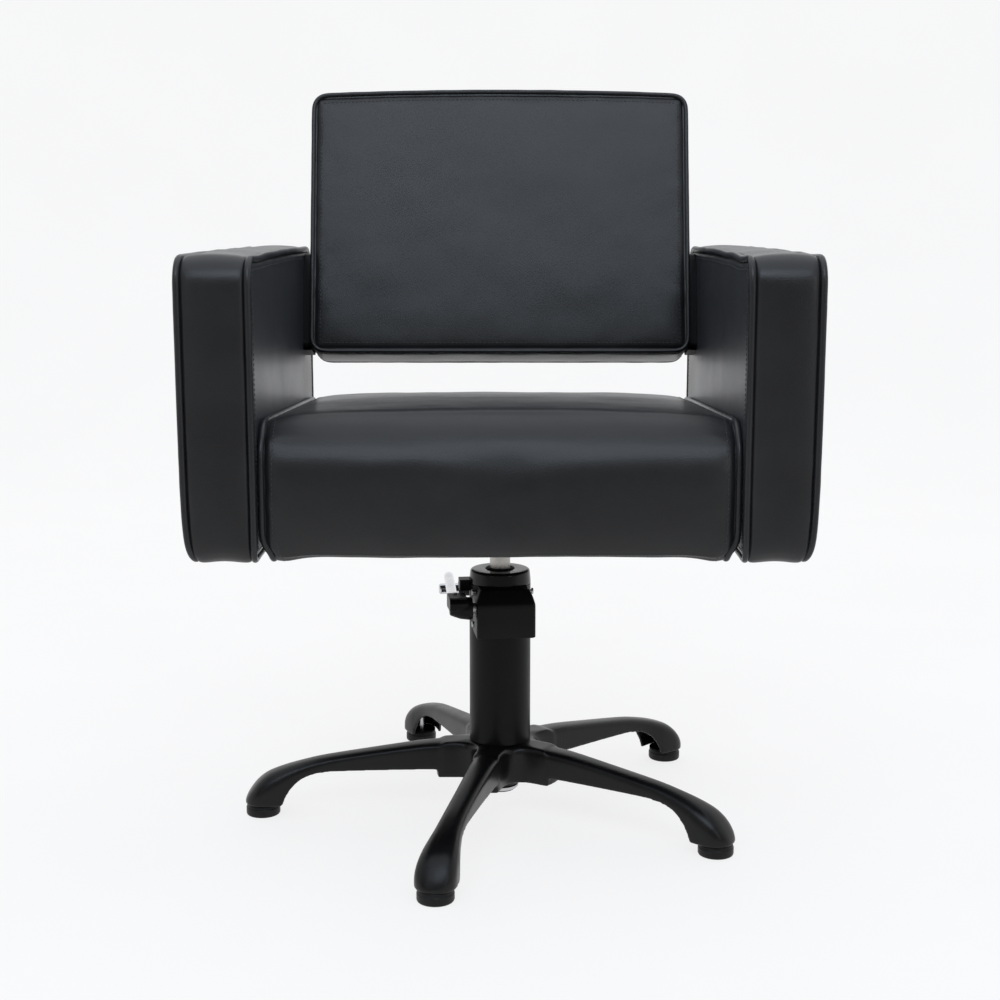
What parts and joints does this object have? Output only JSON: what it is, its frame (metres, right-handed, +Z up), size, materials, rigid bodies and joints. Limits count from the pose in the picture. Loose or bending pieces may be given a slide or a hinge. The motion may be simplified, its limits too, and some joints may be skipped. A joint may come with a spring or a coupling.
{
  "type": "styling chair",
  "caption": "Hair salon styling chair: padded seat, box arms and leaning back on a foot-pumped column with a star base on glides.",
  "frame": {"origin": "on the floor under the swivel axis, at the centre of the glides", "axes": "+Z up; the sitter looks along -Y; the sitter's left is +X"},
  "size_m": [0.64, 0.5915, 0.8556],
  "materials": {
    "upholstery": null,
    "dust_cloth": "black non-woven cloth",
    "frame_wood": "raw beech and plywood",
    "black_casting": "satin black powder coat",
    "black_steel": "satin black paint",
    "gloss_black": "gloss black paint",
    "cover_black": "matte black moulded plastic",
    "ram_steel": "ground steel, oiled",
    "plain_steel": "plain turned steel",
    "zinc_steel": "bright zinc plate",
    "bronze": "sintered bronze",
    "chrome": "bright chrome plate",
    "black_rubber": "moulded black rubber",
    "glide_rubber": "moulded hard black rubber"
  },
  "bodies": {
    "base": {"star_base": "black_casting", "glide_1": "glide_rubber", "glide_2": "glide_rubber", "glide_3": "glide_rubber", "glide_4": "glide_rubber", "glide_5": "glide_rubber", "glide_stems": "zinc_steel", "hub_washer": "zinc_steel", "hub_snap_ring": "zinc_steel", "pump_column": "black_steel", "valve_block": "plain_steel", "pressure_tube": "plain_steel", "pump_head": "gloss_black", "guide_bush": "bronze", "wiper_seal": "black_rubber", "pump_cover": "cover_black", "cover_screws": "zinc_steel", "shaft_bearing": "plain_steel", "lever_stop": "black_steel"},
    "lever": {"lever_shaft": "plain_steel", "lever_crank": "plain_steel", "lever_hub": "black_steel", "lever_grub_screw": "zinc_steel", "lever_rod": "chrome", "foot_bar": "chrome", "foot_bar_sleeve": "black_rubber"},
    "plunger": {"pump_plunger": "plain_steel", "plunger_spring": "plain_steel"},
    "ram": {"ram": "ram_steel", "ram_piston": "plain_steel", "piston_seal": "black_rubber"},
    "seat": {"swivel_socket": "black_steel", "swivel_bush": "bronze", "thrust_bearing": "plain_steel", "mounting_plate": "black_steel", "plate_bolts": "zinc_steel", "seat_rail_front": "frame_wood", "seat_rail_back": "frame_wood", "seat_rail_left": "frame_wood", "seat_rail_right": "frame_wood", "seat_cross_rail_left": "frame_wood", "seat_cross_rail_right": "frame_wood", "seat_board": "frame_wood", "seat_cushion": "upholstery", "seat_dust_cover": "dust_cloth", "left_arm_frame": "frame_wood", "left_arm_pad": "upholstery", "right_arm_frame": "frame_wood", "right_arm_pad": "upholstery", "arm_bolts": "zinc_steel", "back_cushion": "upholstery", "back_frame": "frame_wood", "back_bolts": "zinc_steel", "back_spacers": "black_steel"}
  },
  "joints": [
    {"name": "seat_lift", "type": "slide", "parent": "base", "child": "ram", "axis": [0, 0, 1], "range_m": [0, 0.125]},
    {"name": "seat_swivel", "type": "hinge", "parent": "ram", "child": "seat", "pos_m": [0, 0, 0.33], "axis": [0, 0, 1], "continuous": true},
    {"name": "pump_lever", "type": "hinge", "parent": "base", "child": "lever", "pos_m": [0.00585, -0.04764, 0.258], "axis": [-0.9925, -0.1219, 0], "range_deg": [-6, 24], "stiffness_Nm_per_rad": 12, "springref_deg": -11.46},
    {"name": "pump_plunger_slide", "type": "slide", "parent": "base", "child": "plunger", "axis": [-0.1219, 0.9925, 0], "range_m": [-0.0015, 0.0055], "deforming": ["plunger_spring"]}
  ],
  "couplings": [
    {"joint": "pump_plunger_slide", "follows": "pump_lever", "m_per_rad": 0.0125}
  ]
}
